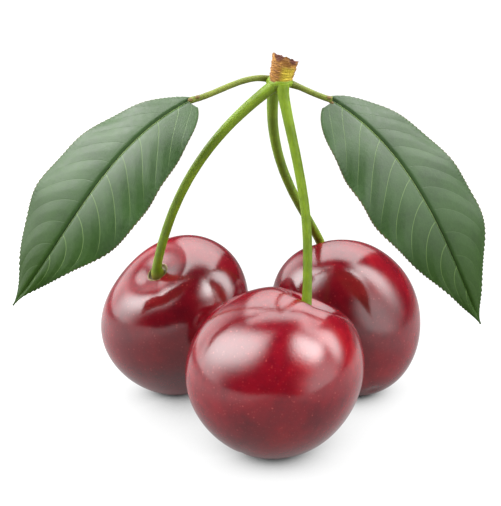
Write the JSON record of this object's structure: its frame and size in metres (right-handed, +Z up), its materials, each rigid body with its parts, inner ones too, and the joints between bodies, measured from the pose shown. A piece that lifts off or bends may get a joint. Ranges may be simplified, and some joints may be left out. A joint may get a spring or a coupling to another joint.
{
  "type": "cherries on stalks",
  "caption": "Sweet cherries on long green stalks that meet at a woody spur with two leaves, resting on their fruits as a free-standing bunch.",
  "frame": {"origin": "middle of the whole bunch's footprint, on the surface that the fruits rest on", "axes": "+Z up from the resting surface to the spur, +X from the left leaf to the right leaf, -Y towards the front fruit"},
  "size_m": [0.0734, 0.051, 0.0612],
  "materials": {
    "cherry_skin": "smooth glossy ripe fruit skin, dark red with fine pale specks",
    "green_stalk": "smooth fresh yellow-green stalk with a soft sheen",
    "leaf_blade": "waxy dark green leaf with pale veins, matte paler underside",
    "spur_bark": "rough orange-brown bark, torn and darker at the upper end"
  },
  "bodies": {
    "root": {"cherry_front": "cherry_skin", "cherry_left": "cherry_skin", "cherry_right": "cherry_skin", "stalk_front": "green_stalk", "stalk_left": "green_stalk", "stalk_right": "green_stalk", "spur": "spur_bark", "leaf_left": "leaf_blade", "leaf_right": "leaf_blade"}
  },
  "joints": []
}
